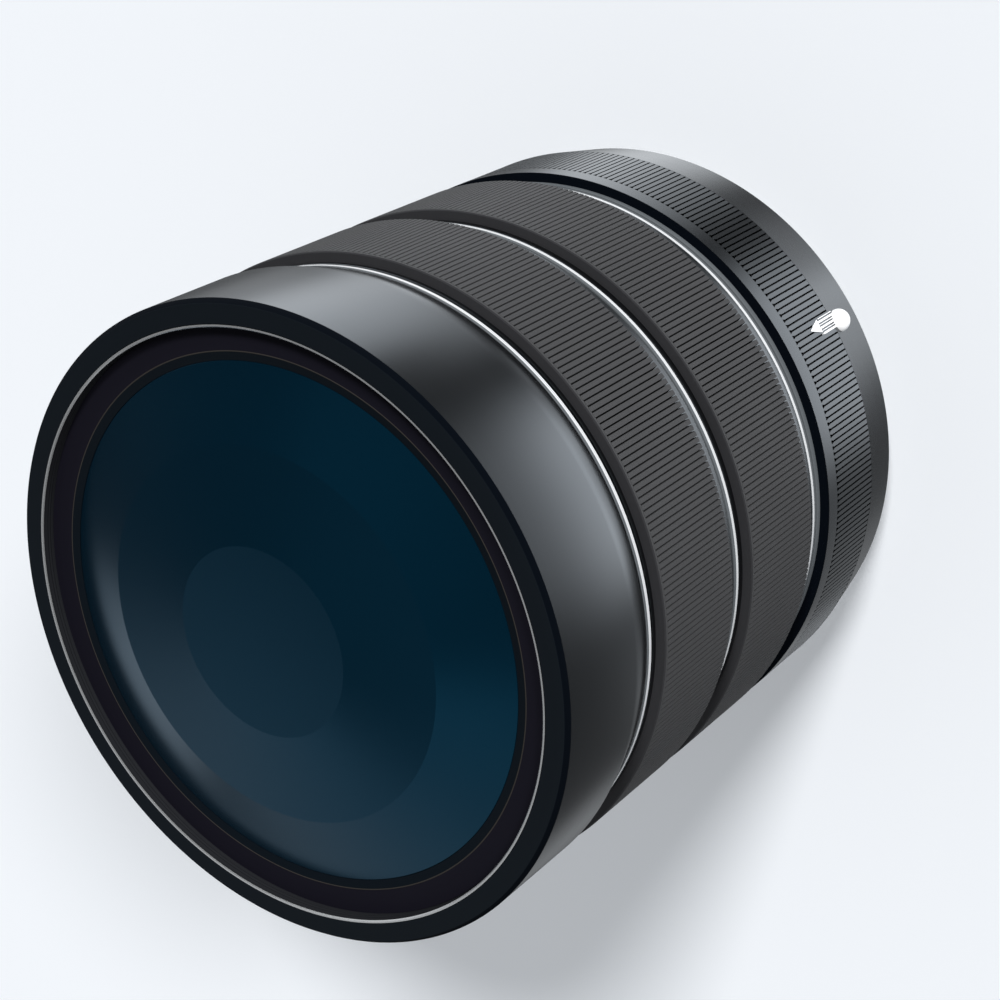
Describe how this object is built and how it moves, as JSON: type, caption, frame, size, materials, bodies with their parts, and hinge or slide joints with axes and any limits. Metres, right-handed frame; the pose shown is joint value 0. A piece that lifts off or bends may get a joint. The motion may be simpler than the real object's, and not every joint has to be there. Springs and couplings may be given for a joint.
{
  "type": "swir zoom lens",
  "caption": "Short-wave infrared zoom lens: black barrel, two ribbed rings for focus and zoom, bright accent rings, bulging deep blue front glass and a bayonet mount.",
  "frame": {"origin": "centre of the rear rim of the mount's throat, which the lens stands on", "axes": "+Z along the optical axis towards the front glass; the index bead is on the -Y side"},
  "size_m": [0.0672, 0.0681, 0.0762],
  "materials": {
    "black_anodised": "fine satin black anodising",
    "grey_anodised": "satin grey anodising",
    "bright_aluminium": "bright turned",
    "rubber": "matt ribbed rubber",
    "coated_glass": "polished, deep blue coating",
    "clear_glass": "polished",
    "matt_black_aluminium": "matt black anodising",
    "black_brass": "blackened",
    "pin_brass": "turned",
    "mount_steel": "fine turned steel",
    "screw_steel": "turned",
    "white_enamel": "white enamel"
  },
  "bodies": {
    "barrel": {"front_barrel": "black_anodised", "filter_ring": "bright_aluminium", "accent_ring_front": "bright_aluminium", "name_ring": "black_anodised", "front_glass": "coated_glass", "front_cell": "matt_black_aluminium", "front_corrector": "clear_glass", "front_spacer": "matt_black_aluminium", "guide_tube": "matt_black_aluminium", "front_screws": "screw_steel", "rear_barrel": "black_anodised", "index_dot": "white_enamel", "bayonet_mount": "mount_steel", "mount_screws": "screw_steel", "rear_baffle": "matt_black_aluminium", "relay_cell": "matt_black_aluminium", "relay_front_lens": "clear_glass", "aperture_stop": "matt_black_aluminium", "relay_rear_lens": "clear_glass", "relay_retainer": "black_brass"},
    "focus_ring_group": {"focus_ring": "grey_anodised", "focus_grip": "rubber", "focus_sleeve": "matt_black_aluminium", "focus_drive_screws": "screw_steel"},
    "focus_carriage": {"focus_cell": "matt_black_aluminium", "focus_lens": "clear_glass", "focus_retainer": "black_brass", "focus_pins": "pin_brass"},
    "zoom_ring_group": {"zoom_ring": "grey_anodised", "zoom_grip": "rubber", "accent_ring_middle": "bright_aluminium", "accent_ring_rear": "bright_aluminium", "cam_tube": "matt_black_aluminium", "zoom_drive_screws": "screw_steel"},
    "variator": {"variator_cell": "matt_black_aluminium", "variator_lens": "clear_glass", "variator_retainer": "black_brass", "variator_pins": "pin_brass"},
    "compensator": {"compensator_cell": "matt_black_aluminium", "compensator_lens": "clear_glass", "compensator_retainer": "black_brass", "compensator_pins": "pin_brass"}
  },
  "joints": [
    {"name": "focus_turn", "type": "hinge", "parent": "barrel", "child": "focus_ring_group", "pos_m": [0, 0, 0.0495], "axis": [0, 0, 1], "range_deg": [0, 100]},
    {"name": "focus_travel", "type": "slide", "parent": "barrel", "child": "focus_carriage", "axis": [0, 0, -1], "range_m": [0, 0.004]},
    {"name": "zoom_turn", "type": "hinge", "parent": "barrel", "child": "zoom_ring_group", "pos_m": [0, 0, 0.032], "axis": [0, 0, 1], "range_deg": [0, 75]},
    {"name": "variator_travel", "type": "slide", "parent": "barrel", "child": "variator", "axis": [0, 0, -1], "range_m": [0, 0.011]},
    {"name": "compensator_travel", "type": "slide", "parent": "barrel", "child": "compensator", "axis": [0, 0, 1], "range_m": [0, 0.0018]}
  ],
  "couplings": [
    {"joint": "focus_turn", "follows": "focus_travel", "rad_per_m": 436.33},
    {"joint": "zoom_turn", "follows": "variator_travel", "rad_per_m": 119},
    {"joint": "compensator_travel", "follows": "variator_travel", "ratio": 0.16364}
  ]
}
